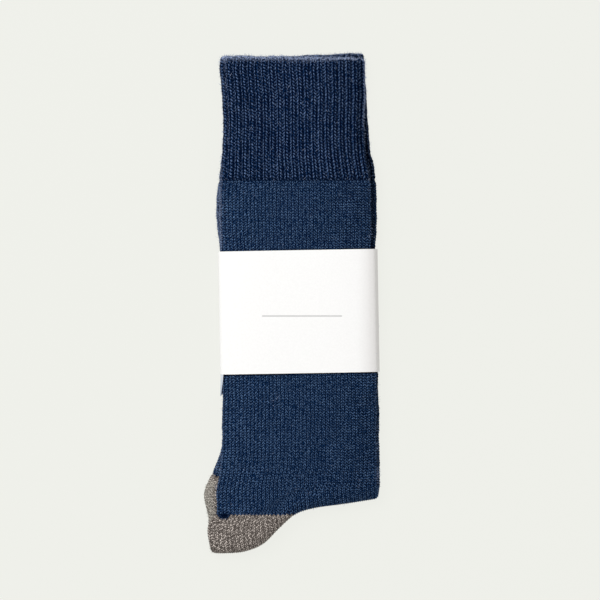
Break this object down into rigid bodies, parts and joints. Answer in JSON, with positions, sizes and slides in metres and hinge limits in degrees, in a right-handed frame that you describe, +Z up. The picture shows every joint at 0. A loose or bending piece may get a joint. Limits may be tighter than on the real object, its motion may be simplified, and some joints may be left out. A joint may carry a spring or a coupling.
{
  "type": "folded pair of ribbed socks with paper band",
  "caption": "Thick knitted calf socks with ribbed cuffs and contrast heels, laid flat on each other, feet folded up behind the legs, held by a plain paper band.",
  "frame": {"origin": "on the surface the pair lies on, under the centre of the folded pair", "axes": "+Z up, +Y along the legs towards the cuffs, +X across the legs away from the heels, which point to -X"},
  "size_m": [0.1053, 0.301, 0.0168],
  "materials": {
    "navy_knit": "matt heathered alpaca and wool knit",
    "taupe_knit": "matt marled taupe knit",
    "white_paper": "smooth uncoated white paper"
  },
  "bodies": {
    "root": {"sock_a_cuff": "navy_knit", "sock_a_leg": "navy_knit", "sock_a_heel": "taupe_knit", "sock_a_foot": "navy_knit", "sock_a_toe": "taupe_knit", "sock_b_cuff": "navy_knit", "sock_b_leg": "navy_knit", "sock_b_heel": "taupe_knit", "sock_b_foot": "navy_knit", "sock_b_toe": "taupe_knit", "paper_band": "white_paper"}
  },
  "joints": []
}
